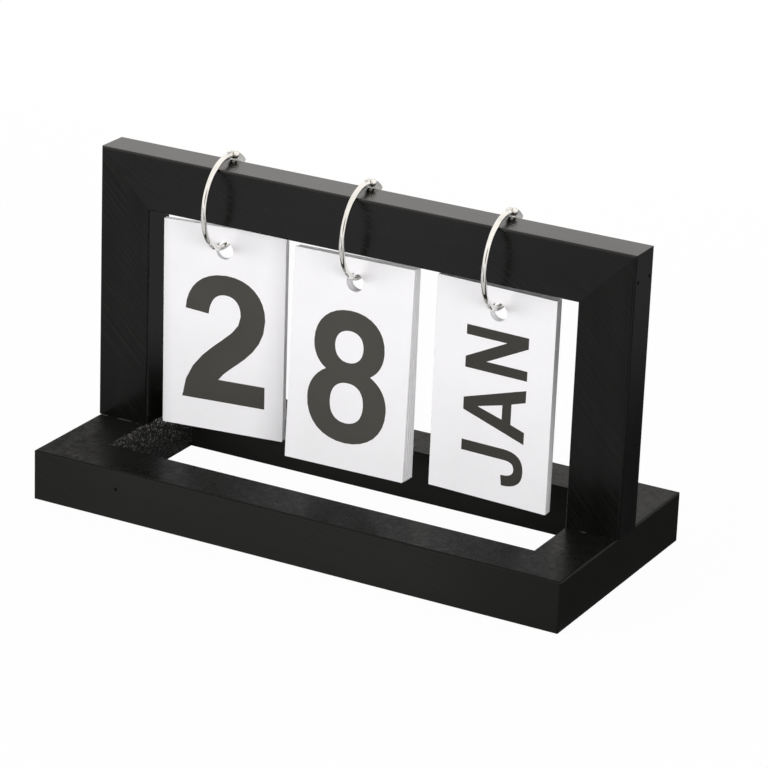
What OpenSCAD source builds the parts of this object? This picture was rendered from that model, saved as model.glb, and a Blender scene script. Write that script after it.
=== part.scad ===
// Perpetual calendar: a mitred wooden frame on a cut-out base, with three hinged rings
// round the top rail that carry the tens, units and month cards.
// Millimetres. X runs along the rail, Y runs to the back, Z is up, and the origin is at
// the middle of the base's underside.

/* [Base] */
// Depth of the base from front to back
base_d = 90; // [80:1:110]
// Thickness of the base board
base_h = 18; // [14:0.5:24]
// Width of the base left at each end of the opening
side_rail_w = 18.5; // [16:0.5:24]
// Width of the base left in front of and behind the opening
front_rail_w = 18.3; // [14:0.1:22]
// How far each post stands out past the end of the base
foot_overhang = 0.5; // [0:0.1:2]

/* [Frame] */
// Width over the two posts
frame_w = 200; // [185:1:240]
// Height of the top rail's upper face above the table
frame_h = 115; // [105:1:140]
// Width of a post and height of the rail, seen from the front
member_w = 19.4; // [16:0.1:22]
// Depth of the posts and the rail
member_d = 13.4; // [11:0.1:15]
// How far the frame stands behind the middle of the base
frame_y = 2.6; // [-6:0.1:8]
// Radius of the sanded edges
edge_r = 0.8; // [0.4:0.1:1.5]

/* [Fasteners] */
// Diameter of the headless brads in the mitres
brad_d = 1.2; // [0.8:0.1:1.6]
// Length of a brad
brad_l = 18; // [14:0.5:24]
// Depth of a brad below the face of the post
brad_set = 0.5; // [0.2:0.1:1]
// Distance of the brads below the top of the frame
brad_drop = 9.5; // [8:0.1:11]
// Distance between the two brads of a corner
brad_gap = 8.4; // [5:0.1:9.5]
// Shank diameter of the screws that hold the posts
screw_d = 3.5; // [2.5:0.1:4.5]
// Length of a post screw
screw_l = 34; // [28:1:45]
// Head diameter of a post screw
screw_head_d = 7; // [6:0.1:8.5]
// Depth of the screw heads below the underside of the base
screw_sink = 0.4; // [0.2:0.1:1]

/* [Rings] */
// Inside diameter of a closed ring
ring_inner_d = 29.4; // [28:0.1:34]
// Diameter of the ring wire
wire_d = 1.9; // [1.5:0.05:2]
// Turn of the rings about the vertical
ring_yaw = 4.5; // [0:0.1:4.8]
// Shift of all three rings along the rail
stack_shift = -2.9; // [-4:0.1:4]
// Turn of the rings on the rail, in degrees of ring that the hinge lies behind the top
ring_roll = 20; // [0:1:30]
// Length of the clasp's lap opposite the hinge, in degrees of ring
clasp_lap = 12; // [8:0.5:14]
// Diameter of the hinge rivet
rivet_d = 1.2; // [0.9:0.05:1.4]
// Diameter of the rivet's domed heads
rivet_head_d = 2.5; // [1.9:0.05:2.6]
// Height of the rivet's domed heads
rivet_head_h = 0.8; // [0.3:0.05:0.9]
// Radius of the hinge ears
ear_r = 1.35; // [1.2:0.05:1.5]
// Height of the flattened necks of the hinge
neck_h = 2.4; // [2:0.1:2.6]
// Length of the fork's neck, in degrees of ring
neck_reach = 22; // [16:1:26]
// Length of the tongue's neck, in degrees of ring
tongue_reach = 10; // [9:0.5:14]
// Diameter of the thickened wire end that carries the tongue
bead_d = 2.2; // [2.1:0.05:2.3]
// Thickness of the hinge tongue
tongue_t = 0.9; // [0.7:0.05:1.1]
// Thickness of each cheek of the hinge fork
cheek_t = 0.8; // [0.6:0.05:0.9]

/* [Cards] */
// Space between neighbouring cards along the rail
card_gap = 7.2; // [5:0.1:12]
// Space between the outer cards and the posts when the cards are centred
side_gap = 6.2; // [5:0.1:12]
// Height of the lowest card edge above the base
card_floor_gap = 0.6; // [0.4:0.1:6]
// Thickness of a card
card_t = 0.35; // [0.25:0.05:0.4]
// Diameter of the punched hole in a card
card_hole_d = 6.4; // [6.2:0.1:7]
// Distance of each stack's holes and ring to the right of the middle of its cards
hole_shift = [0, 0.7, 0.9]; // [-1:0.1:1.5]
// Radius of a card's corners
card_corner_r = 0.3; // [0.2:0.1:3]
// Place of the front card of each stack behind the middle of the base
card_front_y = [3.0, 0, 1.6]; // [-1:0.1:4]
// Turn of the front card of each stack about the vertical
card_yaw = [7.6, 1.4, -2.9]; // [-10:0.1:10]
// Distance from card to card in each stack
card_pitch = [1.4, 0.75, 0.52]; // [0.5:0.01:2]
// Turn from card to card in each stack
card_fan = [1.2, 0.3, 0.1]; // [0:0.1:2]
// Lean of the front card of each stack, lower edge to the front
card_lean = [-0.8, 2.2, 0.3]; // [-1:0.1:3]
// Lean from card to card in each stack
lean_step = [0, -0.5, 0]; // [-0.6:0.1:0]

/* [Clearances] */
// Gap between a ring and the rail edges that it sits on
ring_seat_gap = 0.2; // [0.1:0.05:0.5]
// Gap between the top of a card hole and the wire that it hangs on
hang_gap = 0.55; // [0.5:0.05:0.8]
// Least gap between a turning card and the rail
swing_gap = 0.2; // [0.1:0.1:1.5]
// Gap at the lap and the ends of the clasp
clasp_gap = 0.1; // [0.05:0.05:0.2]
// Running gap round the rivet in the tongue, and beside the tongue
hinge_gap = 0.08; // [0.05:0.01:0.1]
// Gap round a driven brad or screw and a set rivet
drive_gap = 0.03; // [0.02:0.01:0.05]

/* [Hidden] */
$fn = 64;
TENS = 0;
UNITS = 1;
MONTH = 2;
black_paint = [0.14, 0.14, 0.135];
nickel = [0.78, 0.77, 0.74];
zinc = [0.62, 0.62, 0.6];
card_white = [0.95, 0.95, 0.955];

// Base and frame
base_l = frame_w - 2 * foot_overhang;
opening_l = base_l - 2 * side_rail_w;
opening_d = base_d - 2 * front_rail_w;
window_w = frame_w - 2 * member_w;

// Fasteners
brad_tip_h = 1.5 * brad_d;
brad_z = frame_h - brad_drop;
screw_x = (max(opening_l / 2, window_w / 2) + base_l / 2) / 2;
screw_head_h = (screw_head_d - screw_d) / 2;
screw_tip_h = 1.5 * screw_d;
screw_slot_w = 0.14 * screw_head_d;
screw_slot_l = 0.6 * screw_head_d;
screw_slot_h = 0.7 * screw_head_h;
screw_top_z = screw_sink + screw_l;

// Rings: a ring sits on the two rounded upper edges of the rail
ring_in = ring_inner_d / 2;
ring_r = ring_in + wire_d / 2;
edge_y = member_d / 2 - edge_r;
seat_rise = sqrt(pow(ring_in - edge_r - ring_seat_gap, 2) - pow(edge_y, 2));
ring_z = frame_h - edge_r - seat_rise;
clasp_from = 180 - clasp_lap / 2;
clasp_to = clasp_from + clasp_lap;
clasp_gap_turn = clasp_gap / ring_r * 180 / PI;
clasp_root = clasp_lap / 6;
fork_half = tongue_t / 2 + hinge_gap + cheek_t;
neck_in = ring_in + 0.1;
neck_out = neck_in + neck_h;
hinge_r = neck_in + ear_r;
root_depth = asin(1.2 / ring_r);
rivet_dome_r = (pow(rivet_head_d / 2, 2) + pow(rivet_head_h, 2)) / (2 * rivet_head_h);

// Cards: the hole hangs on the ring, and the top edge clears the rail all round
card_w = (window_w - 2 * side_gap - 2 * card_gap) / 3;
stack_pitch = card_w + card_gap;
hole_path_r = ring_in + card_hole_d / 2 - hang_gap;
rail_low = member_w - 2 * edge_r - seat_rise;
rail_corner_r = sqrt(pow(edge_y, 2) + pow(rail_low, 2)) + edge_r;
hole_to_top = hole_path_r - rail_corner_r - swing_gap;
card_h = ring_z - hole_path_r + hole_to_top - base_h - card_floor_gap;

function stack_x(stack) = stack_shift + (stack - 1) * stack_pitch;
function card_y(stack, place) = card_front_y[stack] + place * card_pitch[stack];
function hole_drop(y) = sqrt(pow(hole_path_r, 2) - pow(y - frame_y, 2));

// Flat rectangle with round corners, centred
module round_rect(w, h, r) {
    square([w, h - 2 * r], center = true);
    square([w - 2 * r, h], center = true);
    for (x = [-1, 1], y = [-1, 1])
        translate([x * (w / 2 - r), y * (h / 2 - r)]) circle(r);
}

// Board with all its edges sanded round, standing on z = 0
module eased_board(l, d, h, r) {
    translate([0, 0, h / 2]) intersection() {
        linear_extrude(h, center = true) round_rect(l, d, r);
        rotate([90, 0, 0]) linear_extrude(d, center = true) round_rect(l, h, r);
        rotate([90, 0, 90]) linear_extrude(l, center = true) round_rect(d, h, r);
    }
}

// Outline in the plane of the frame, as thick as the base is deep
module frame_outline(points) {
    translate([0, base_d / 2, 0]) rotate([90, 0, 0]) linear_extrude(base_d) polygon(points);
}

// Holes or brads at both corners, as children that point inwards along +X from the face
module at_brads() {
    for (side = [-1, 1], row = [-0.5, 0.5])
        translate([side * frame_w / 2, frame_y + row * brad_gap, brad_z])
            rotate([0, side * -90, 0]) children();
}

module brad_holes() {
    at_brads() translate([0, 0, -1]) cylinder(d = brad_d + 2 * drive_gap, h = brad_set + brad_l + 1.5);
}

// Places of the two post screws, heads down on the underside of the base
module at_screws() {
    for (side = [-1, 1]) translate([side * screw_x, frame_y, screw_sink]) children();
}

module screw_holes() {
    at_screws() {
        translate([0, 0, -screw_sink - 1]) cylinder(d = screw_head_d + 2 * drive_gap, h = screw_sink + 1);
        cylinder(d1 = screw_head_d + 2 * drive_gap, d2 = screw_d + 2 * drive_gap, h = screw_head_h);
        cylinder(d = screw_d + 2 * drive_gap, h = screw_l + 1);
    }
}

module base_board() {
    color(black_paint) difference() {
        eased_board(base_l, base_d, base_h, edge_r);
        translate([0, 0, base_h / 2]) cube([opening_l, opening_d, 2 * base_h], center = true);
        screw_holes();
    }
}

// Left post, or the right one when mirrored
module post() {
    outer = frame_w / 2;
    inner = window_w / 2;
    difference() {
        intersection() {
            translate([-(outer + inner) / 2, frame_y, base_h])
                linear_extrude(frame_h) round_rect(member_w, member_d, edge_r);
            frame_outline([
                [-outer, base_h], [-inner, base_h], [-inner, frame_h - member_w], [-outer, frame_h]
            ]);
        }
        brad_holes();
        screw_holes();
    }
}

module left_post() {
    color(black_paint) post();
}

module right_post() {
    color(black_paint) mirror([1, 0, 0]) post();
}

module top_rail() {
    outer = frame_w / 2;
    inner = window_w / 2;
    color(black_paint) difference() {
        intersection() {
            translate([0, frame_y, frame_h - member_w / 2])
                rotate([90, 0, 90]) linear_extrude(frame_w, center = true)
                    round_rect(member_d, member_w, edge_r);
            frame_outline([
                [-outer, frame_h], [outer, frame_h], [inner, frame_h - member_w], [-inner, frame_h - member_w]
            ]);
        }
        brad_holes();
    }
}

module corner_brads() {
    color(zinc) at_brads() translate([0, 0, brad_set]) {
        cylinder(d = brad_d, h = brad_l - brad_tip_h);
        translate([0, 0, brad_l - brad_tip_h]) cylinder(d1 = brad_d, d2 = 0.3 * brad_d, h = brad_tip_h);
    }
}

module post_screws() {
    color(zinc) at_screws() difference() {
        union() {
            cylinder(d1 = screw_head_d, d2 = screw_d, h = screw_head_h);
            cylinder(d = screw_d, h = screw_l - screw_tip_h);
            translate([0, 0, screw_l - screw_tip_h])
                cylinder(d1 = screw_d, d2 = 0.3 * screw_d, h = screw_tip_h);
        }
        for (turn = [0, 90])
            rotate([0, 0, turn]) cube([screw_slot_l, screw_slot_w, 2 * screw_slot_h], center = true);
    }
}

// Puts a ring drawn round the Z axis on the rail: its +X points up to the hinge and its +Y to the front
module on_rail(stack) {
    translate([stack_x(stack) + hole_shift[stack], frame_y, ring_z])
        rotate([0, 0, ring_yaw]) rotate([180, -90, 0]) rotate([0, 0, -ring_roll]) children();
}

// Sweeps a section round the ring, from one turn to another, counted from the hinge to the front
module sweep_ring(from, to) {
    rotate([0, 0, from]) rotate_extrude(angle = to - from) children();
}

module wire_section() {
    translate([ring_r, 0]) circle(d = wire_d);
}

// One side of a slightly thinner wire, for the lapped ends of the clasp
module half_section(side) {
    intersection() {
        translate([ring_r, 0]) circle(d = wire_d - clasp_gap);
        translate([ring_in, side > 0 ? clasp_gap / 2 : -wire_d]) square([wire_d, wire_d - clasp_gap / 2]);
    }
}

// Flat neck of the hinge between two heights beside the middle of the wire
module neck_section(low, high) {
    translate([neck_in, low]) square([neck_out - neck_in, high - low]);
}

// Round ear of the hinge between two heights, round the rivet
module ear(low, high) {
    translate([hinge_r, 0, low]) cylinder(r = ear_r, h = high - low);
}

// Front half: tongue of the hinge, wire down the front, and the front end of the clasp
module ring_front(stack) {
    color(nickel) on_rail(stack) difference() {
        union() {
            sweep_ring(tongue_reach, clasp_from) wire_section();
            rotate([0, 0, tongue_reach]) translate([ring_in + bead_d / 2, 0, 0]) sphere(d = bead_d);
            sweep_ring(clasp_from - clasp_root, clasp_to - clasp_gap_turn) half_section(1);
            sweep_ring(0, tongue_reach + root_depth) neck_section(-tongue_t / 2, tongue_t / 2);
            ear(-tongue_t / 2, tongue_t / 2);
        }
        translate([hinge_r, 0, -tongue_t]) cylinder(d = rivet_d + 2 * hinge_gap, h = 2 * tongue_t);
    }
}

// Back half: fork of the hinge, wire down the back and under, and the back end of the clasp
module ring_back(stack) {
    cheek_low = fork_half - cheek_t;
    color(nickel) on_rail(stack) difference() {
        union() {
            sweep_ring(clasp_to, 360 - neck_reach) wire_section();
            sweep_ring(clasp_from + clasp_gap_turn, clasp_to + clasp_root) half_section(-1);
            sweep_ring(-neck_reach - root_depth, -neck_reach) neck_section(-fork_half, fork_half);
            for (side = [-1, 1]) {
                low = side > 0 ? cheek_low : -fork_half;
                sweep_ring(-neck_reach - root_depth, 0) neck_section(low, low + cheek_t);
                ear(low, low + cheek_t);
            }
        }
        translate([hinge_r, 0, -2 * fork_half]) cylinder(d = rivet_d + 2 * drive_gap, h = 4 * fork_half);
    }
}

// Rivet through fork and tongue, with a dome at both ends
module ring_rivet(stack) {
    color(nickel) on_rail(stack) translate([hinge_r, 0, 0]) {
        cylinder(d = rivet_d, h = 2 * fork_half, center = true);
        for (side = [0, 180]) rotate([side, 0, 0]) translate([0, 0, fork_half]) intersection() {
            translate([0, 0, rivet_head_h - rivet_dome_r]) sphere(rivet_dome_r);
            cylinder(d = 2 * rivet_head_d, h = rivet_head_h + 1);
        }
    }
}

// Card of a stack, counted from 0 at the front: hung on the ring and leant about the ring's middle
module card(stack, place) {
    y = card_y(stack, place);
    color(card_white) translate([stack_x(stack), frame_y, ring_z])
        rotate([-card_lean[stack] - place * lean_step[stack], 0, 0])
            translate([0, y - frame_y, -hole_drop(y)])
                rotate([0, 0, card_yaw[stack] + place * card_fan[stack]])
                    rotate([90, 0, 0]) linear_extrude(card_t, center = true) difference() {
                        translate([0, hole_to_top - card_h / 2])
                            round_rect(card_w, card_h, card_corner_r);
                        translate([hole_shift[stack], 0]) circle(d = card_hole_d);
                    }
}

base_board();
left_post();
right_post();
top_rail();
corner_brads();
post_screws();
ring_front(TENS);  // tens_ring_front
ring_back(TENS);  // tens_ring_back
ring_rivet(TENS);  // tens_ring_rivet
ring_front(UNITS);  // units_ring_front
ring_back(UNITS);  // units_ring_back
ring_rivet(UNITS);  // units_ring_rivet
ring_front(MONTH);  // month_ring_front
ring_back(MONTH);  // month_ring_back
ring_rivet(MONTH);  // month_ring_rivet
card(TENS, 0);  // tens_card_1
card(TENS, 1);  // tens_card_2
card(UNITS, 0);  // units_card_1
card(UNITS, 1);  // units_card_2
card(UNITS, 2);  // units_card_3
card(UNITS, 3);  // units_card_4
card(UNITS, 4);  // units_card_5
card(MONTH, 0);  // month_card_1
card(MONTH, 1);  // month_card_2
card(MONTH, 2);  // month_card_3
card(MONTH, 3);  // month_card_4
card(MONTH, 4);  // month_card_5
card(MONTH, 5);  // month_card_6
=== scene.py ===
import math

import bpy
from mathutils import Matrix, Vector


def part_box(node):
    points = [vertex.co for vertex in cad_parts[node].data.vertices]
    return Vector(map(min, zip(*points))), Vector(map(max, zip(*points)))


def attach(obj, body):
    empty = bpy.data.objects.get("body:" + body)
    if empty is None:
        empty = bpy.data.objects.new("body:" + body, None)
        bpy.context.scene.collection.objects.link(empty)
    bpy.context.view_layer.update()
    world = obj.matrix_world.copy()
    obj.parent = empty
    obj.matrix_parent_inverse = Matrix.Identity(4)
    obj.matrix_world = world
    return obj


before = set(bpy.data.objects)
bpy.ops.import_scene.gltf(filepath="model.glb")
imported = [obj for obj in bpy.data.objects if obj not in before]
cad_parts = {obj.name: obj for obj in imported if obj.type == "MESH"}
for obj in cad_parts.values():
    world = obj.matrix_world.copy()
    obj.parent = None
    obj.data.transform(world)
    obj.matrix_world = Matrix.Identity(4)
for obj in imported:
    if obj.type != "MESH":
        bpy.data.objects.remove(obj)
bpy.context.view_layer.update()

MM = 0.001

# Camera: its angles, the point it faces, its distance from there, and its lens and sensor in mm
AZIMUTH = math.radians(28.197)
ELEVATION = math.radians(20.827)
ROLL = math.radians(2.236)
TARGET = Vector((9.628 * MM, 0, 51.282 * MM))
DISTANCE = 1222.34 * MM
LENS = 172.66
SENSOR = 36.0

# Axes that the grain of the wood runs along
LENGTHWISE = 0
UPRIGHT = 2

# Base board: its opening, and a pin hole in its front by its place along the base and its height
OPENING_L = 162 * MM
OPENING_W = 53.4 * MM
PIN_X = -66.5 * MM
PIN_Z = 11.2 * MM

# Cards and their print: sizes of a glyph, and how far the print lies from the middle of a card
CARD_W = 44.8 * MM
CARD_T = 0.35 * MM
INK_T = 0.03 * MM
INK_SUNK = 0.005 * MM
NUMBER_SIZE = (46.4 * MM, 45.7 * MM)
NUMBER_DROP = 26.75 * MM
MONTH_SIZE = (22.9 * MM, 23.3 * MM)
MONTH_LONGEST = 55 * MM
MONTH_SPACE = 0.14
MONTH_RIGHT = 12.8 * MM
MONTH_DROP = 4.2 * MM

# Colours
WHITE = (1.0, 1.0, 1.0, 1.0)
WARM_WHITE = (1.0, 0.98, 0.955, 1.0)
FLOOR_GREY = (0.42, 0.42, 0.42, 1.0)
NEAR_BLACK = (0.001, 0.001, 0.001, 1.0)
FRAME_BLACK = (0.0024, 0.0024, 0.00221, 1.0)
BASE_BLACK = (0.0166, 0.0166, 0.01527, 1.0)
WORN_BLACK = (0.06, 0.058, 0.055, 1.0)
SAWN_WOOD = (0.31, 0.3, 0.29, 1.0)
FOOT_HIGHLIGHT = (0.15, 0.147, 0.142, 1.0)
BRIGHT_NICKEL = (0.87, 0.855, 0.82, 1.0)
DULL_NICKEL = (0.76, 0.745, 0.71, 1.0)
CARD_WHITE = (0.905, 0.892, 0.908, 1.0)
CARD_GREY = (0.66, 0.652, 0.655, 1.0)
# The darker and the lighter tone of the fasteners
PAINTED_STEEL = ((0.012, 0.012, 0.012, 1.0), (0.05, 0.05, 0.048, 1.0))
ZINC = ((0.5, 0.5, 0.48, 1.0), (0.66, 0.65, 0.6, 1.0))

# Each stack of cards: its turn and its lean in degrees, for the first card and as a step to the next one,
# how far its print lies to the right of and above the usual place, how pale its cut edges are painted at the
# foot and at the head as light and shade, the darker and the lighter tone of its ink, and the two faces of
# each card
STACKS = {
    "tens": {
        "turn": (7.6, 1.2), "lean": (-0.8, 0.0), "shift": (0.2 * MM, 0.4 * MM), "edge_light_and_shade": (0.9, 0.9),
        "ink": ((0.038, 0.0355, 0.031, 1.0), (0.063, 0.059, 0.0515, 1.0)),
        "cards": ("23", "01")},
    "units": {
        "turn": (1.4, 0.3), "lean": (2.2, -0.5), "shift": (-0.15 * MM, -0.6 * MM), "edge_light_and_shade": (0.97, 0.97),
        "ink": ((0.04, 0.0375, 0.0325, 1.0), (0.066, 0.062, 0.054, 1.0)),
        "cards": ("89", "01", "23", "45", "67")},
    "month": {
        "turn": (-2.9, 0.1), "lean": (0.3, 0.0), "shift": (0.0, 0.0), "edge_light_and_shade": (0.75, 0.22),
        "ink": ((0.026, 0.0243, 0.021, 1.0), (0.042, 0.0395, 0.0345, 1.0)),
        "cards": (
            ("JAN", "FEB"), ("MAR", "APR"), ("MAY", "JUN"), ("JUL", "AUG"), ("SEP", "OCT"), ("NOV", "DEC"))},
}

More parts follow.
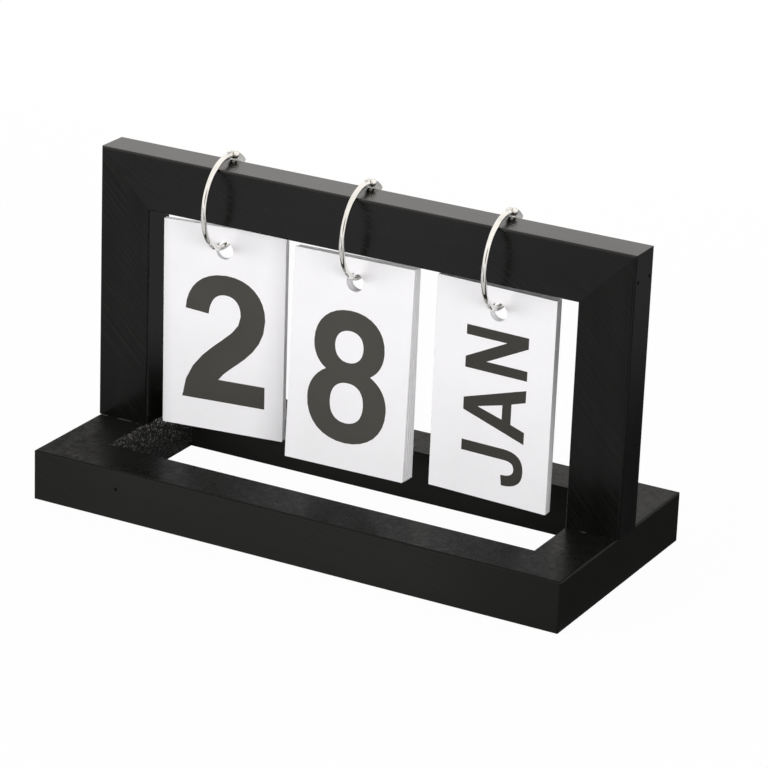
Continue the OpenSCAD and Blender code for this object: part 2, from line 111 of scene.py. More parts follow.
# Printed numbers and letters, one unit high: the width and the outlines of each.
# A pair is a corner, and six numbers are a curve to its last pair
GLYPHS = {
    "0": (0.66, [
        [(0.33, 1.01), (0.55, 1.01, 0.66, 0.83, 0.66, 0.5), (0.66, 0.17, 0.55, -0.01, 0.33, -0.01),
         (0.11, -0.01, 0, 0.17, 0, 0.5), (0, 0.83, 0.11, 1.01, 0.33, 1.01)],
        [(0.33, 0.86), (0.22, 0.86, 0.19, 0.74, 0.19, 0.5), (0.19, 0.26, 0.22, 0.14, 0.33, 0.14),
         (0.44, 0.14, 0.47, 0.26, 0.47, 0.5), (0.47, 0.74, 0.44, 0.86, 0.33, 0.86)]]),
    "1": (0.5, [
        [(0.48, 0), (0.48, 1), (0.32, 1), (0.29, 0.88, 0.18, 0.8, 0.03, 0.76), (0.03, 0.6),
         (0.14, 0.62, 0.22, 0.66, 0.285, 0.72), (0.285, 0)]]),
    "2": (0.66, [
        [(0, 0), (0.66, 0), (0.66, 0.175), (0.29, 0.175), (0.36, 0.3, 0.655, 0.41, 0.655, 0.7),
         (0.655, 0.88, 0.53, 1.01, 0.34, 1.01), (0.14, 1.01, 0.03, 0.885, 0.02, 0.71), (0.205, 0.69),
         (0.215, 0.8, 0.26, 0.855, 0.335, 0.855), (0.415, 0.855, 0.46, 0.795, 0.46, 0.705),
         (0.46, 0.5, 0.03, 0.42, 0, 0)]]),
    "3": (0.66, [
        [(0.03, 0.72), (0.05, 0.9, 0.16, 1.01, 0.33, 1.01), (0.51, 1.01, 0.62, 0.9, 0.62, 0.745),
         (0.62, 0.64, 0.57, 0.565, 0.48, 0.53), (0.59, 0.5, 0.65, 0.41, 0.65, 0.3),
         (0.65, 0.11, 0.52, -0.01, 0.33, -0.01), (0.14, -0.01, 0.02, 0.1, 0.01, 0.28), (0.2, 0.295),
         (0.21, 0.2, 0.25, 0.145, 0.33, 0.145), (0.41, 0.145, 0.455, 0.21, 0.455, 0.295),
         (0.455, 0.4, 0.39, 0.445, 0.26, 0.445), (0.26, 0.595), (0.37, 0.595, 0.43, 0.64, 0.43, 0.725),
         (0.43, 0.8, 0.39, 0.855, 0.325, 0.855), (0.26, 0.855, 0.22, 0.81, 0.215, 0.7)]]),
    "4": (0.7, [
        [(0.41, 0), (0.6, 0), (0.6, 0.2), (0.7, 0.2), (0.7, 0.365), (0.6, 0.365), (0.6, 1), (0.43, 1),
         (0, 0.365), (0, 0.2), (0.41, 0.2)],
        [(0.41, 0.365), (0.17, 0.365), (0.41, 0.71)]]),
    "5": (0.66, [
        [(0.13, 1), (0.61, 1), (0.61, 0.825), (0.275, 0.825), (0.25, 0.645),
         (0.29, 0.67, 0.33, 0.68, 0.375, 0.68), (0.55, 0.68, 0.66, 0.54, 0.66, 0.345),
         (0.66, 0.13, 0.52, -0.01, 0.325, -0.01), (0.14, -0.01, 0.02, 0.1, 0, 0.275), (0.195, 0.29),
         (0.205, 0.2, 0.26, 0.145, 0.325, 0.145), (0.41, 0.145, 0.465, 0.22, 0.465, 0.34),
         (0.465, 0.46, 0.41, 0.53, 0.325, 0.53), (0.27, 0.53, 0.23, 0.505, 0.195, 0.455), (0.035, 0.48)]]),
    "6": (0.66, [
        [(0.625, 0.76), (0.6, 0.91, 0.5, 1.01, 0.345, 1.01), (0.13, 1.01, 0, 0.82, 0, 0.48),
         (0, 0.16, 0.13, -0.01, 0.34, -0.01), (0.53, -0.01, 0.655, 0.13, 0.655, 0.33),
         (0.655, 0.52, 0.54, 0.655, 0.375, 0.655), (0.3, 0.655, 0.235, 0.625, 0.19, 0.57),
         (0.195, 0.76, 0.245, 0.855, 0.34, 0.855), (0.39, 0.855, 0.425, 0.82, 0.435, 0.745)],
        [(0.335, 0.51), (0.255, 0.51, 0.2, 0.44, 0.2, 0.33), (0.2, 0.215, 0.255, 0.14, 0.335, 0.14),
         (0.415, 0.14, 0.46, 0.21, 0.46, 0.32), (0.46, 0.44, 0.415, 0.51, 0.335, 0.51)]]),
    "7": (0.66, [
        [(0.02, 1), (0.64, 1), (0.64, 0.86), (0.5, 0.66, 0.385, 0.36, 0.37, 0), (0.17, 0),
         (0.175, 0.3, 0.29, 0.62, 0.44, 0.825), (0.02, 0.825)]]),
    "8": (0.64, [
        [(0.32, 1.01), (0.49, 1.01, 0.605, 0.9, 0.605, 0.74), (0.605, 0.65, 0.57, 0.58, 0.5, 0.535),
         (0.59, 0.485, 0.64, 0.4, 0.64, 0.295), (0.64, 0.11, 0.51, -0.01, 0.32, -0.01),
         (0.13, -0.01, 0, 0.11, 0, 0.295), (0, 0.4, 0.05, 0.485, 0.14, 0.535),
         (0.07, 0.58, 0.035, 0.65, 0.035, 0.74), (0.035, 0.9, 0.15, 1.01, 0.32, 1.01)],
        [(0.32, 0.855), (0.25, 0.855, 0.205, 0.81, 0.205, 0.735), (0.205, 0.66, 0.25, 0.61, 0.32, 0.61),
         (0.39, 0.61, 0.435, 0.66, 0.435, 0.735), (0.435, 0.81, 0.39, 0.855, 0.32, 0.855)],
        [(0.32, 0.455), (0.235, 0.455, 0.185, 0.4, 0.185, 0.3), (0.185, 0.2, 0.235, 0.145, 0.32, 0.145),
         (0.405, 0.145, 0.455, 0.2, 0.455, 0.3), (0.455, 0.4, 0.405, 0.455, 0.32, 0.455)]]),
    "A": (0.825, [
        [(0, 0), (0.32, 1), (0.505, 1), (0.825, 0), (0.64, 0), (0.565, 0.225), (0.255, 0.225), (0.185, 0)],
        [(0.3, 0.37), (0.52, 0.37), (0.4125, 0.77)]]),
    "B": (0.68, [
        [(0, 0), (0, 1), (0.37, 1), (0.55, 1, 0.635, 0.9, 0.635, 0.755),
         (0.635, 0.65, 0.59, 0.58, 0.51, 0.54), (0.62, 0.5, 0.68, 0.41, 0.68, 0.295),
         (0.68, 0.11, 0.57, 0, 0.39, 0)],
        [(0.17, 0.6), (0.36, 0.6), (0.44, 0.6, 0.47, 0.65, 0.47, 0.73),
         (0.47, 0.81, 0.44, 0.855, 0.36, 0.855), (0.17, 0.855)],
        [(0.17, 0.145), (0.38, 0.145), (0.47, 0.145, 0.51, 0.2, 0.51, 0.3),
         (0.51, 0.4, 0.47, 0.455, 0.38, 0.455), (0.17, 0.455)]]),
    "C": (0.71, [
        [(0.7, 0.665), (0.67, 0.88, 0.55, 1.01, 0.375, 1.01), (0.14, 1.01, 0, 0.8, 0, 0.495),
         (0, 0.19, 0.14, -0.01, 0.375, -0.01), (0.56, -0.01, 0.68, 0.13, 0.705, 0.36), (0.535, 0.375),
         (0.52, 0.22, 0.47, 0.14, 0.38, 0.14), (0.25, 0.14, 0.175, 0.27, 0.175, 0.5),
         (0.175, 0.73, 0.25, 0.86, 0.38, 0.86), (0.46, 0.86, 0.51, 0.79, 0.53, 0.65)]]),
    "D": (0.69, [
        [(0, 0), (0, 1), (0.31, 1), (0.55, 1, 0.69, 0.81, 0.69, 0.5), (0.69, 0.19, 0.55, 0, 0.31, 0)],
        [(0.17, 0.145), (0.29, 0.145), (0.43, 0.145, 0.515, 0.27, 0.515, 0.5),
         (0.515, 0.73, 0.43, 0.855, 0.29, 0.855), (0.17, 0.855)]]),
    "E": (0.65, [
        [(0, 0), (0, 1), (0.63, 1), (0.63, 0.855), (0.17, 0.855), (0.17, 0.59), (0.58, 0.59), (0.58, 0.445),
         (0.17, 0.445), (0.17, 0.145), (0.65, 0.145), (0.65, 0)]]),
    "F": (0.6, [
        [(0, 0), (0, 1), (0.6, 1), (0.6, 0.855), (0.17, 0.855), (0.17, 0.6), (0.54, 0.6), (0.54, 0.455),
         (0.17, 0.455), (0.17, 0)]]),
    "G": (0.735, [
        [(0.725, 0.7), (0.7, 0.9, 0.56, 1.01, 0.38, 1.01), (0.14, 1.01, 0, 0.8, 0, 0.495),
         (0, 0.19, 0.14, -0.01, 0.38, -0.01), (0.52, -0.01, 0.64, 0.05, 0.735, 0.145), (0.735, 0.535),
         (0.4, 0.535), (0.4, 0.395), (0.57, 0.395), (0.57, 0.225), (0.52, 0.17, 0.46, 0.14, 0.39, 0.14),
         (0.25, 0.14, 0.175, 0.27, 0.175, 0.5), (0.175, 0.73, 0.25, 0.86, 0.38, 0.86),
         (0.47, 0.86, 0.53, 0.8, 0.555, 0.685)]]),
    "J": (0.56, [
        [(0.56, 1), (0.56, 0.31), (0.56, 0.1, 0.46, -0.01, 0.275, -0.01), (0.09, -0.01, 0, 0.1, 0, 0.325),
         (0.16, 0.345), (0.16, 0.2, 0.2, 0.14, 0.28, 0.14), (0.36, 0.14, 0.395, 0.19, 0.395, 0.31),
         (0.395, 1)]]),
    "L": (0.59, [[(0, 0), (0, 1), (0.17, 1), (0.17, 0.145), (0.59, 0.145), (0.59, 0)]]),
    "M": (0.83, [
        [(0, 0), (0, 1), (0.245, 1), (0.415, 0.36), (0.585, 1), (0.83, 1), (0.83, 0), (0.67, 0),
         (0.67, 0.74), (0.485, 0), (0.345, 0), (0.16, 0.74), (0.16, 0)]]),
    "N": (0.65, [
        [(0, 0), (0, 1), (0.165, 1), (0.5, 0.345), (0.5, 1), (0.65, 1), (0.65, 0), (0.485, 0), (0.15, 0.66),
         (0.15, 0)]]),
    "O": (0.8, [
        [(0.4, 1.01), (0.65, 1.01, 0.8, 0.81, 0.8, 0.5), (0.8, 0.19, 0.65, -0.01, 0.4, -0.01),
         (0.15, -0.01, 0, 0.19, 0, 0.5), (0, 0.81, 0.15, 1.01, 0.4, 1.01)],
        [(0.4, 0.86), (0.26, 0.86, 0.175, 0.73, 0.175, 0.5), (0.175, 0.27, 0.26, 0.14, 0.4, 0.14),
         (0.54, 0.14, 0.625, 0.27, 0.625, 0.5), (0.625, 0.73, 0.54, 0.86, 0.4, 0.86)]]),
    "P": (0.66, [
        [(0, 0), (0, 1), (0.4, 1), (0.57, 1, 0.66, 0.88, 0.66, 0.695),
         (0.66, 0.5, 0.57, 0.385, 0.39, 0.385), (0.17, 0.385), (0.17, 0)],
        [(0.17, 0.53), (0.37, 0.53), (0.45, 0.53, 0.485, 0.6, 0.485, 0.695),
         (0.485, 0.79, 0.45, 0.855, 0.37, 0.855), (0.17, 0.855)]]),
    "R": (0.74, [
        [(0, 0), (0, 1), (0.42, 1), (0.6, 1, 0.69, 0.89, 0.69, 0.72), (0.69, 0.57, 0.61, 0.47, 0.47, 0.445),
         (0.74, 0), (0.535, 0), (0.285, 0.42), (0.17, 0.42), (0.17, 0)],
        [(0.17, 0.565), (0.39, 0.565), (0.48, 0.565, 0.515, 0.62, 0.515, 0.71),
         (0.515, 0.8, 0.48, 0.855, 0.39, 0.855), (0.17, 0.855)]]),
    "S": (0.65, [
        [(0.02, 0.315), (0.03, 0.11, 0.15, -0.01, 0.335, -0.01), (0.53, -0.01, 0.65, 0.11, 0.65, 0.285),
         (0.65, 0.44, 0.56, 0.51, 0.38, 0.565), (0.24, 0.605, 0.2, 0.635, 0.2, 0.72),
         (0.2, 0.81, 0.25, 0.86, 0.33, 0.86), (0.41, 0.86, 0.455, 0.81, 0.465, 0.7), (0.63, 0.71),
         (0.62, 0.89, 0.51, 1.01, 0.33, 1.01), (0.15, 1.01, 0.035, 0.89, 0.035, 0.72),
         (0.035, 0.56, 0.12, 0.49, 0.29, 0.435), (0.43, 0.395, 0.48, 0.36, 0.48, 0.28),
         (0.48, 0.19, 0.43, 0.14, 0.34, 0.14), (0.25, 0.14, 0.195, 0.2, 0.185, 0.325)]]),
    "T": (0.62, [
        [(0.225, 0), (0.225, 0.855), (0, 0.855), (0, 1), (0.62, 1), (0.62, 0.855), (0.395, 0.855),
         (0.395, 0)]]),
    "U": (0.7, [
        [(0, 1), (0.17, 1), (0.17, 0.37), (0.17, 0.22, 0.23, 0.14, 0.35, 0.14),
         (0.47, 0.14, 0.53, 0.22, 0.53, 0.37), (0.53, 1), (0.7, 1), (0.7, 0.38),
         (0.7, 0.13, 0.57, -0.01, 0.35, -0.01), (0.13, -0.01, 0, 0.13, 0, 0.38)]]),
    "V": (0.73, [[(0, 1), (0.185, 1), (0.365, 0.235), (0.545, 1), (0.73, 1), (0.46, 0), (0.27, 0)]]),
    "Y": (0.735, [
        [(0, 1), (0.195, 1), (0.37, 0.6), (0.545, 1), (0.735, 1), (0.455, 0.42), (0.455, 0), (0.285, 0),
         (0.285, 0.42)]]),
}


def turned_glyph(glyph):
    """The glyph turned half round, which makes a nine of a six."""
    width, contours = glyph
    turned = []
    for contour in contours:
        steps = []
        for step in contour:
            steps.append(tuple(width - n if i % 2 == 0 else 1 - n for i, n in enumerate(step)))
        turned.append(steps)
    return width, turned


GLYPHS["9"] = turned_glyph(GLYPHS["6"])


class Finish:
    """A socket of a material's nodes. Sums on it add Math nodes."""

    def __init__(self, tree, socket=None):
        self.tree = tree
        self.socket = socket

    def node(self, kind, output, inputs, settings=()):
        """Adds a node, sets it up, fills or links its inputs, and returns the asked outputs."""
        made = self.tree.nodes.new(kind)
        for name, setting in dict(settings).items():
            setattr(made, name, setting)
        for name, given in inputs.items():
            if isinstance(given, Finish):
                self.tree.links.new(given.socket, made.inputs[name])
            else:
                made.inputs[name].default_value = given
        if isinstance(output, tuple):
            return [Finish(self.tree, made.outputs[name]) for name in output]
        return Finish(self.tree, made.outputs[output])

    def math(self, operation, first, second=0.0):
        return self.node("ShaderNodeMath", "Value", {0: first, 1: second}, {"operation": operation})

    def __add__(self, other):
        return self.math("ADD", self, other)

    def __radd__(self, other):
        return self.math("ADD", other, self)

    def __sub__(self, other):
        return self.math("SUBTRACT", self, other)

    def __rsub__(self, other):
        return self.math("SUBTRACT", other, self)

    def __mul__(self, other):
        return self.math("MULTIPLY", self, other)

    def __rmul__(self, other):
        return self.math("MULTIPLY", other, self)

    def __abs__(self):
        return self.math("ABSOLUTE", self)

    def larger(self, other):
        return self.math("MAXIMUM", self, other)

    def fade(self, start, end):
        """Runs smoothly from 0 at start to 1 at end."""
        span = {"Value": self, "From Min": start, "From Max": end, "To Min": 0.0, "To Max": 1.0}
        return self.node("ShaderNodeMapRange", "Result", span, {"interpolation_type": "SMOOTHSTEP"})

    def tint(self, low, high):
        """Mixes two colours by this value."""
        return self.node("ShaderNodeMix", 2, {0: self, 6: low, 7: high}, {"data_type": "RGBA"})

    def place(self):
        """The place on a piece."""
        return self.node("ShaderNodeTexCoord", "Object", {})

    def vector(self, operation, first, second, output="Vector"):
        """A sum of two places or directions."""
        return self.node("ShaderNodeVectorMath", output, {0: first, 1: second}, {"operation": operation})

    def split(self, vector):
        """The three parts of a place or a direction."""
        return self.node("ShaderNodeSeparateXYZ", ("X", "Y", "Z"), {"Vector": vector})

    def turned(self, place, turn):
        """A place turned about the origin."""
        return self.node("ShaderNodeMapping", "Vector", {"Vector": place, "Rotation": turn})

    def stretched(self, place, scale):
        """A place scaled along each axis, for a pattern with a direction."""
        return self.node("ShaderNodeMapping", "Vector", {"Vector": place, "Scale": scale})

    def speckle(self, place, scale=1.0, detail=3.0, rough=0.6):
        """Noise at a place, between 0 and 1."""
        inputs = {"Vector": place, "Scale": scale, "Detail": detail, "Roughness": rough}
        return self.node("ShaderNodeTexNoise", 0, inputs)

    def bump(self, height, strength, depth):
        """A normal that follows a height."""
        inputs = {"Strength": strength, "Distance": depth, "Height": height}
        return self.node("ShaderNodeBump", "Normal", inputs)

    def end(self, kind, shader):
        """Links a shader to the output of the material or the surroundings."""
        output = self.tree.nodes.new(kind)
        self.tree.links.new(shader.socket, output.inputs["Surface"])


def new_finish(name):
    """An empty material and its nodes."""
    material = bpy.data.materials.new(name)
    material.use_nodes = True
    material.node_tree.nodes.clear()
    return material, Finish(material.node_tree)


def finish_surface(finish, inputs):
    """Ends a material in its shader."""
    shader = finish.node("ShaderNodeBsdfPrincipled", "BSDF", inputs)
    finish.end("ShaderNodeOutputMaterial", shader)


def drawn_out(along, lengthwise, across):
    """Scales of a pattern that is drawn out along one axis."""
    scales = [across, across, across]
    scales[along] = lengthwise
    return scales


def sanded_wood(finish, place, axes, cloud, box, along, marks_turn, marks_amount):
    """Height, wear and roughness of thin paint on wood, with grain, pores and sanding marks."""
    low, high = box
    grain = finish.speckle(finish.stretched(place, drawn_out(along, 18, 900)), detail=5.0, rough=0.65)
    streak = finish.speckle(finish.stretched(place, drawn_out(along, 7, 130)), rough=0.55)
    slanted = finish.stretched(finish.turned(place, (0, marks_turn, 0)), (18, 1200, 1200))
    marks = finish.speckle(slanted, detail=4.0)
    pores = finish.speckle(place, scale=1300.0, detail=2.0)

    # The marks lie on the front and the back
    reach = (high[1] - low[1]) / 2
    face = abs(axes[1] - low[1] - reach).fade(reach - 0.9 * MM, reach - 0.5 * MM)
    scratch = face * marks.fade(0.42, 0.7) * cloud.fade(0.3, 0.6) * marks_amount
    height = grain * 0.5 + scratch * 0.9 + pores * 0.12
    worn = streak.fade(0.35, 0.75) * 0.03 + scratch * 0.06 + pores.fade(0.68, 0.76) * 0.04
    rough = pores * 0.05 + cloud * 0.08 + scratch * 0.12
    return height, worn, rough


def frame_paint(name, node, along, marks_turn, marks_amount, shine):
    """Satin black paint on a post or the rail, with a fine uneven joint line in the mitre."""
    material, finish = new_finish(name)
    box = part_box(node)
    place = finish.place()
    axes = finish.split(place)
    cloud = finish.speckle(place, scale=42.0)
    height, worn, rough = sanded_wood(finish, place, axes, cloud, box, along, marks_turn, marks_amount)

    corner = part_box("top_rail")[1]
    joint = abs(abs(axes[0]) - axes[2] - (corner[0] - corner[2])).fade(0.24 * MM, 0.08 * MM)
    joint = joint * (0.1 + cloud.fade(0.42, 0.62) * 0.5)
    worn = worn * (1 - joint)
    height = height - joint * 0.9
    inputs = {
        "Base Color": worn.tint(FRAME_BLACK, WORN_BLACK), "Roughness": 0.16 + rough + joint * 0.4,
        "Specular IOR Level": shine, "Normal": finish.bump(height, strength=0.16, depth=0.06 * MM)}

    # The rings rub the top of the rail shiny, least of all near its ends
    if node == "top_rail":
        top = box[1][2]
        rubbed = axes[2].fade(top - 0.7 * MM, top - 0.3 * MM)
        rubbed = rubbed * (1 - abs(axes[0]).fade(50 * MM, 90 * MM) * 0.2)
        inputs["Coat Weight"] = rubbed * (0.145 + cloud * 0.225)
        inputs["Coat Roughness"] = 0.25
        inputs["Coat IOR"] = 1.5
    finish_surface(finish, inputs)
    return material


def base_paint():
    """Satin black paint on the base: a smudged top, sawn ends in the opening, a pale raised streak at the
    posts' feet painted as a highlight, a pin hole darkened as painted shade, and painted shade on the top
    and the ends.
    """
    material, finish = new_finish("base_paint")
    low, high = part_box("base_board")
    place = finish.place()
    axes = finish.split(place)
    cloud = finish.speckle(place, scale=42.0)
    height, worn, rough = sanded_wood(
        finish, place, axes, cloud, (low, high), LENGTHWISE, marks_turn=-0.3, marks_amount=0.4)

    # Smudges on the top, which is duller towards its left end
    top = axes[2].fade(high[2] - 0.7 * MM, high[2] - 0.2 * MM)
    smudge = finish.speckle(place, scale=420.0, detail=6.0, rough=0.75)
    rough = rough + top * (smudge.fade(0.3, 0.7) * 0.27 - 0.04)
    rough = rough + top * axes[0].fade(-55 * MM, -90 * MM) * 0.2

    # Sawn end grain at both ends of the opening, with pale specks, made stronger towards the top as painted
    # light
    end_x = OPENING_L / 2
    side_y = OPENING_W / 2
    sawn = abs(axes[0]).fade(end_x - 0.3 * MM, end_x - 0.1 * MM)
    sawn = sawn * abs(axes[0]).fade(end_x + 0.4 * MM, end_x + 0.2 * MM)
    sawn = sawn * abs(axes[1]).fade(side_y + 0.2 * MM, side_y - 0.1 * MM)
    fibres = finish.speckle(finish.stretched(place, (500, 1250, 1600)), rough=0.8)
    flecks_and_light = sawn * fibres.fade(0.51, 0.66) * (0.3 + axes[2].fade(3 * MM, 16 * MM) * 0.7)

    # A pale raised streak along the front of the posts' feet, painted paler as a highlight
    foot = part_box("right_post")[0]
    foot_highlight = top * abs(axes[1] - foot[1] + 0.3 * MM).fade(0.55 * MM, 0.2 * MM)
    foot_highlight = foot_highlight * abs(axes[0]).fade(foot[0] + 1.0 * MM, foot[0] + 3.0 * MM)
    foot_highlight = foot_highlight * finish.speckle(finish.stretched(place, (190, 60, 60))).fade(0.5, 0.58)

    # The pin hole is a dent, painted near black as shade in its recess
    pin = (PIN_X, low[1], PIN_Z)
    hole = finish.vector("DISTANCE", place, pin, "Value").fade(0.8 * MM, 0.45 * MM)

    # Painted shade: the paint is darkened on the top, on the right end face and towards both ends of the
    # base
    right_end = axes[0].fade(high[0] - 0.9 * MM, high[0] - 0.4 * MM)
    darker = axes[0].fade(40 * MM, 95 * MM) * 0.36 + axes[0].fade(-60 * MM, -98 * MM) * 0.15
    darker = darker.larger(top * 0.5).larger(right_end * 0.5)
    colour = worn.tint(BASE_BLACK, WORN_BLACK)
    colour = darker.tint(colour, NEAR_BLACK)
    colour = (sawn * 0.5).tint(colour, NEAR_BLACK)
    colour = flecks_and_light.tint(colour, SAWN_WOOD)
    colour = (foot_highlight * 0.8).tint(colour, FOOT_HIGHLIGHT)
    colour = (hole * 0.9).tint(colour, NEAR_BLACK)
    height = height + sawn * fibres * 5.0 + foot_highlight * 1.5 - hole * 6.0
    finish_surface(finish, {
        "Base Color": colour, "Roughness": 0.17 + rough + sawn * 0.25, "Specular IOR Level": 0.06,
        "Normal": finish.bump(height, strength=0.16, depth=0.06 * MM)})
    return material


def nickel_wire():
    """Bright nickel plate with faint drawing marks, duller patches and a duller pressed hinge."""
    material, finish = new_finish("nickel_wire")
    place = finish.place()
    axes = finish.split(place)
    drawn = finish.speckle(finish.stretched(place, (2600, 300, 300)))
    patch = finish.speckle(place, scale=160.0)
    hinge = axes[2].fade(114.8 * MM, 116.2 * MM)
    cheeks = axes[1].fade(5.5 * MM, 7.5 * MM) * axes[2].fade(108 * MM, 111 * MM)
    finish_surface(finish, {
        "Base Color": patch.fade(0.35, 0.75).tint(BRIGHT_NICKEL, DULL_NICKEL), "Metallic": 1.0,
        "Roughness": 0.04 + drawn * 0.05 + patch * 0.05 + hinge * 0.04 + cheeks * 0.1,
        "Normal": finish.bump(drawn, strength=0.06, depth=0.02 * MM)})
    return material


def dull_plate(name, tones):
    """Dull plate or paint of the fasteners, with clouds and driver scuffs."""
    material, finish = new_finish(name)
    place = finish.place()
    cloud = finish.speckle(place, scale=420.0, detail=4.0, rough=0.65)
    slanted = finish.stretched(finish.turned(place, (0, 0, 0.6)), (3000, 400, 400))
    scuff = finish.speckle(slanted, detail=2.0, rough=0.5)
    finish_surface(finish, {
        "Base Color": cloud.fade(0.3, 0.7).tint(*tones), "Metallic": 1.0,
        "Roughness": 0.34 + cloud * 0.2 + scuff * 0.1,
        "Normal": finish.bump(scuff, strength=0.25, depth=0.05 * MM)})
    return material


def card_axes(turn, lean):
    """The directions to the right, up and to the front of a card that hangs turned and leant."""
    tilt = Matrix.Rotation(math.radians(-lean), 3, "X") @ Matrix.Rotation(math.radians(turn), 3, "Z")
    return tilt @ Vector((1, 0, 0)), tilt @ Vector((0, 0, 1)), tilt @ Vector((0, -1, 0))


def card_stock(name, node, turn, lean, edge_light_and_shade):
    """White card: fine fibre, faint clouds, a lower half greyed as painted shade, and cut edges in their
    stack's painted light and shade.
    """
    material, finish = new_finish(name)
    low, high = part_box(node)
    middle = [(low[i] + high[i]) / 2 for i in range(3)]
    shifted = finish.vector("SUBTRACT", finish.place(), middle)
    flat = finish.turned(shifted, (math.radians(lean), 0, -math.radians(turn)))
    axes = finish.split(flat)
    fibre = finish.speckle(finish.stretched(flat, (1600, 1600, 700)), detail=4.0)
    cloud = finish.speckle(flat, scale=60.0, rough=0.55)

    across = CARD_W / 2 - abs(axes[0])
    upright = (high[2] - low[2]) / 2 - abs(axes[2])
    rim = across.fade(0.5 * MM, 0.0).larger(upright.fade(0.5 * MM, 0.0))
    cut = across.fade(0.06 * MM, 0.02 * MM).larger(upright.fade(0.06 * MM, 0.02 * MM))
    # Painted shade: the card greys towards its foot, as the light falls off downwards
    lower_half_shade = axes[2].fade(15 * MM, -32 * MM)
    grey = cloud.fade(0.35, 0.75) * 0.08 + rim * 0.04 + (fibre - 0.5) * 0.08 + lower_half_shade * 0.17
    # The cut edges are painted in light and shade from the foot to the head, as each stack catches the side
    # light
    foot, head = [(tone, tone, tone, 1.0) for tone in edge_light_and_shade]
    edge = axes[2].fade(-28 * MM, 28 * MM).tint(foot, head)
    finish_surface(finish, {
        "Base Color": (cut * 0.9).tint(grey.tint(CARD_WHITE, CARD_GREY), edge),
        "Roughness": 0.62 + fibre * 0.16, "Specular IOR Level": 0.35,
        "Normal": finish.bump(fibre, strength=0.12, depth=0.04 * MM)})
    return material


def printing_ink(name, tones):
    """Warm black printing ink, a little uneven over the card."""
    material, finish = new_finish(name)
    place = finish.place()
    fine = finish.speckle(place, scale=1900.0)
    cloud = finish.speckle(place, scale=70.0, detail=2.0, rough=0.5)
    finish_surface(finish, {
        "Base Color": (cloud * 0.5 + fine * 0.5).tint(*tones),
        "Roughness": 0.5 + fine * 0.15, "Specular IOR Level": 0.4,
        "Normal": finish.bump(fine, strength=0.1, depth=0.03 * MM)})
    return material


def dress(node, material):
    """Gives a CAD piece its finish."""
    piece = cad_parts[node]
    piece.data.materials.clear()
    piece.data.materials.append(material)


def text_width(text, space):
    """Width of a printed text, in units of its glyphs."""
    return sum(GLYPHS[letter][0] for letter in text) + space * (len(text) - 1)


def draw_contour(curve, contour, shift, size):
    """One closed outline of a glyph on a flat curve."""
    knots = []
    for step in contour:
        point = step[-2:]
        if len(step) == 6:
            knots[-1][2] = step[:2]
            knots.append([point, step[2:4], point])
        else:
            knots.append([point, point, point])
    if knots[-1][0] == knots[0][0]:
        knots[0][1] = knots[-1][1]
        knots.pop()
    spline = curve.splines.new("BEZIER")
    spline.use_cyclic_u = True
    spline.bezier_points.add(len(knots) - 1)
    for bezier, (point, before, after) in zip(spline.bezier_points, knots):
        bezier.handle_left_type = "FREE"
        bezier.handle_right_type = "FREE"
        bezier.co = ((point[0] + shift) * size[0], point[1] * size[1], 0)
        bezier.handle_left = ((before[0] + shift) * size[0], before[1] * size[1], 0)
        bezier.handle_right = ((after[0] + shift) * size[0], after[1] * size[1], 0)


def printed(name, text, size, space, place):
    """Ink lying on a card face: the glyphs drawn as flat outlines, filled, and set in place."""
    curve = bpy.data.curves.new(name, "CURVE")
    curve.dimensions = "2D"
    curve.fill_mode = "BOTH"
    curve.resolution_u = 8
    curve.extrude = INK_T / 2
    start = -text_width(text, space) / 2
    for letter in text:
        width, contours = GLYPHS[letter]
        for contour in contours:
            draw_contour(curve, contour, start, size)
        start += width + space
    piece = bpy.data.objects.new(name, curve)
    bpy.context.scene.collection.objects.link(piece)
    bpy.ops.object.select_all(action="DESELECT")
    piece.select_set(True)
    bpy.context.view_layer.objects.active = piece
    bpy.ops.object.convert(target="MESH")
    piece.matrix_world = place
    bpy.ops.object.transform_apply(location=True, rotation=True, scale=True)
    bpy.ops.object.mode_set(mode="EDIT")
    bpy.ops.mesh.select_all(action="SELECT")
    bpy.ops.mesh.remove_doubles(threshold=0.005 * MM)
    bpy.ops.mesh.normals_make_consistent(inside=False)
    bpy.ops.object.mode_set(mode="OBJECT")
    return piece


def print_card(node, turn, lean, shift, faces, ink):
    """Prints both faces of a card: a number upright, or a month that reads upwards."""
    low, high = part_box(node)
    middle = Vector([(low[i] + high[i]) / 2 for i in range(3)])
    along, up, front = card_axes(turn, lean)
    for side, text in zip((1, -1), faces):
        out = front * side
        right = along * side
        centre = middle + out * (CARD_T / 2 + INK_T / 2 - INK_SUNK)
        centre += right * shift[0] + up * shift[1]
        if len(text) == 1:
            space = 0.0
            size = NUMBER_SIZE
            base = centre - up * NUMBER_DROP
            axes = (right, up, out)
        else:
            space = MONTH_SPACE
            size = (min(MONTH_SIZE[0], MONTH_LONGEST / text_width(text, space)), MONTH_SIZE[1])
            base = centre + right * MONTH_RIGHT - up * MONTH_DROP
            axes = (up, -right, out)
        place = Matrix.Translation(base) @ Matrix(axes).transposed().to_4x4()
        face = "front" if side > 0 else "back"
        piece = printed(node + "_" + face + "_print", text, size, space, place)
        piece.data.materials.append(ink)
        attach(piece, node)


def towards_camera():
    """The direction from the object to the camera."""
    level = math.cos(ELEVATION)
    return Vector((math.sin(AZIMUTH) * level, -math.cos(AZIMUTH) * level, math.sin(ELEVATION)))


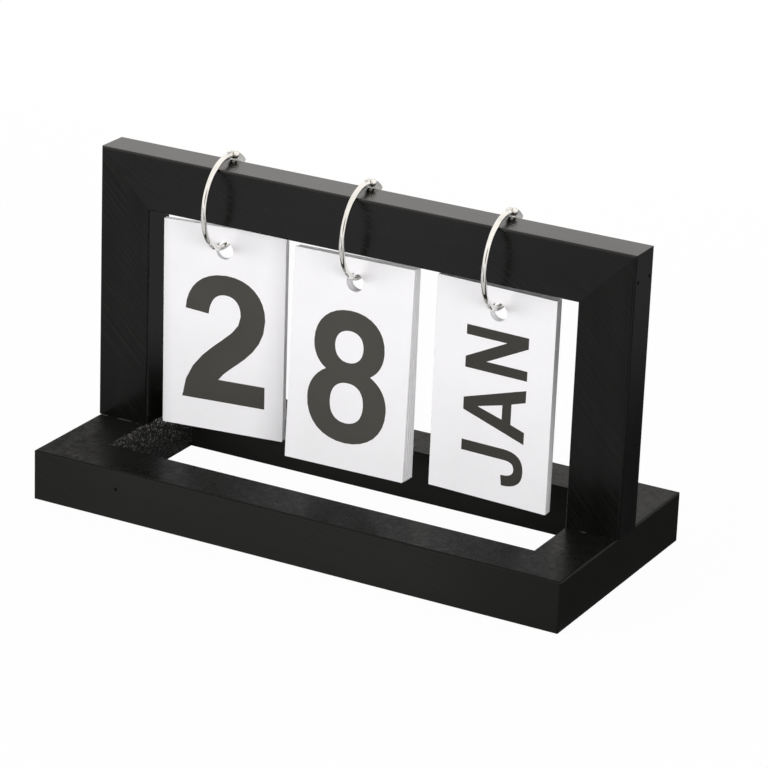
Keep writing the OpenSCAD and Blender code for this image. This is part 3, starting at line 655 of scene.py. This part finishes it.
def set_camera():
    """The camera at the photograph's viewing angle."""
    back = towards_camera()
    level = Vector((0, 0, 1)).cross(back).normalized()
    upright = back.cross(level)
    right = level * math.cos(ROLL) + upright * math.sin(ROLL)
    up = upright * math.cos(ROLL) - level * math.sin(ROLL)
    data = bpy.data.cameras.new("photo_camera")
    data.sensor_width = SENSOR
    data.lens = LENS
    data.clip_start = 0.05
    data.clip_end = 30.0
    camera = bpy.data.objects.new("photo_camera", data)
    bpy.context.scene.collection.objects.link(camera)
    turn = Matrix((right, up, back)).transposed().to_4x4()
    camera.matrix_world = Matrix.Translation(TARGET + back * DISTANCE) @ turn
    bpy.context.scene.camera = camera


def area_light(name, position, target, width, height, power):
    """A soft box that points at a target."""
    bpy.ops.object.select_all(action="DESELECT")
    bpy.ops.object.light_add(type="AREA", location=position)
    light = bpy.context.object
    light.name = name
    light.data.shape = "RECTANGLE"
    light.data.size = width
    light.data.size_y = height
    light.data.energy = power
    direction = Vector(target) - Vector(position)
    light.rotation_euler = direction.to_track_quat("-Z", "Y").to_euler()
    light.visible_glossy = False


def set_lights():
    """Three soft boxes: at the front left, at the front right and behind."""
    middle = (0, 0, 0.06)
    area_light("key", (-0.8, -1.05, 0.33), middle, width=1.0, height=0.6, power=11.2)
    area_light("fill", (1.12, -0.95, 0.3), middle, width=0.8, height=0.5, power=12.0)
    area_light("back", (-0.4, 1.2, 0.2), middle, width=0.8, height=0.4, power=10.0)


def set_surroundings():
    """White surroundings with a soft light, which the wire mirrors darker behind the camera."""
    world = bpy.data.worlds.new("white_studio")
    bpy.context.scene.world = world
    world.use_nodes = True
    world.node_tree.nodes.clear()
    sky = Finish(world.node_tree)
    rays = ("Is Camera Ray", "Is Glossy Ray", "Is Transmission Ray")
    seen, mirror, through = sky.node("ShaderNodeLightPath", rays, {})
    ways = sky.split(sky.node("ShaderNodeTexCoord", "Generated", {}))
    camera = towards_camera()
    facing = ways[0] * camera[0] + ways[1] * camera[1] + ways[2] * camera[2]
    ambient = 0.3
    mirrored = 1.12 - facing.fade(0.92, 0.97) * 0.93
    strength = ambient + seen.larger(through) * (1 - ambient) + mirror * (mirrored - ambient)
    colour = mirror.tint(WHITE, WARM_WHITE)
    shine = sky.node("ShaderNodeBackground", "Background", {"Color": colour, "Strength": strength})
    sky.end("ShaderNodeOutputWorld", shine)


def mirrored_floor(axes):
    """How bright the floor is in the wire and the paint, in zones round the object. Places are in metres."""
    patch = abs(axes[0] + 0.16).fade(0.11, 0.02) * axes[1].fade(-0.16, -0.22)
    front = axes[1].fade(-0.03, -0.09) * (0.62 + patch * 0.4)

    # A darker aisle runs from the object towards the camera
    across = axes[0] * math.cos(AZIMUTH) + axes[1] * math.sin(AZIMUTH)
    ahead = axes[0] * math.sin(AZIMUTH) - axes[1] * math.cos(AZIMUTH)
    aisle = abs(across).fade(0.075, 0.05) * ahead.fade(0.15, 0.2)

    under = axes[1].fade(0.045, 0.02) * axes[0].fade(0.105, 0.085) * axes[1].fade(-0.08, -0.05)
    right_back = axes[1].fade(0.1, 0.24) * axes[0].fade(0.1, 0.2)
    right = axes[0].fade(0.16, 0.24) * axes[1].fade(0.12, 0.06)
    back = axes[1].fade(0.06, 0.13) * axes[0].fade(0.12, 0.05)
    left = axes[0].fade(-0.13, -0.2) * axes[1].fade(-0.09, -0.03)
    strip = axes[1].fade(0.25, 0.28) * axes[1].fade(0.37, 0.33) * abs(axes[0] - 0.1).fade(0.075, 0.06)
    zones = 0.06 + front * (1 - aisle * 0.85) + under * 0.27 + right_back * 0.14 + right * 0.25
    return zones + back * 0.38 + left * 0.3 + strip * 0.7


def set_floor():
    """A floor that looks white, keeps a faint shadow, and is mirrored in zones."""
    bpy.ops.object.select_all(action="DESELECT")
    bpy.ops.mesh.primitive_plane_add(size=6.0, location=(0, 0, -0.2 * MM))
    floor = bpy.context.object
    floor.name = "floor"
    bpy.ops.object.transform_apply(location=True, rotation=True, scale=True)
    material, finish = new_finish("pale_floor")
    seen, mirror = finish.node("ShaderNodeLightPath", ("Is Camera Ray", "Is Glossy Ray"), {})
    shown = seen * 1.075 + mirror * mirrored_floor(finish.split(finish.place()))
    matte = finish.node("ShaderNodeBsdfDiffuse", "BSDF", {"Color": FLOOR_GREY})
    glow = finish.node("ShaderNodeEmission", "Emission", {"Color": WHITE, "Strength": shown})
    mixed = finish.node("ShaderNodeMixShader", "Shader", {0: seen * 0.9 + mirror, 1: matte, 2: glow})
    finish.end("ShaderNodeOutputMaterial", mixed)
    floor.data.materials.append(material)


set_camera()
set_surroundings()
set_floor()
set_lights()
bpy.context.scene.view_settings.view_transform = "Standard"

dress("base_board", base_paint())
dress("left_post", frame_paint(
    "left_post_paint", "left_post", UPRIGHT, marks_turn=-0.78, marks_amount=1.5, shine=0.18))
dress("right_post", frame_paint(
    "right_post_paint", "right_post", UPRIGHT, marks_turn=-0.85, marks_amount=0.9, shine=0.185))
dress("top_rail", frame_paint(
    "rail_paint", "top_rail", LENGTHWISE, marks_turn=-0.5, marks_amount=1.2, shine=0.245))
dress("corner_brads", dull_plate("painted_brads", PAINTED_STEEL))
dress("post_screws", dull_plate("zinc_screws", ZINC))

nickel = nickel_wire()
for stack, hung in STACKS.items():
    for part in ("front", "back", "rivet"):
        dress(stack + "_ring_" + part, nickel)
    ink = printing_ink(stack + "_ink", hung["ink"])
    for place, faces in enumerate(hung["cards"]):
        card = "%s_card_%d" % (stack, place + 1)
        turn, lean = [first + place * step for first, step in (hung["turn"], hung["lean"])]
        dress(card, card_stock(card + "_stock", card, turn, lean, hung["edge_light_and_shade"]))
        print_card(card, turn, lean, hung["shift"], faces, ink)
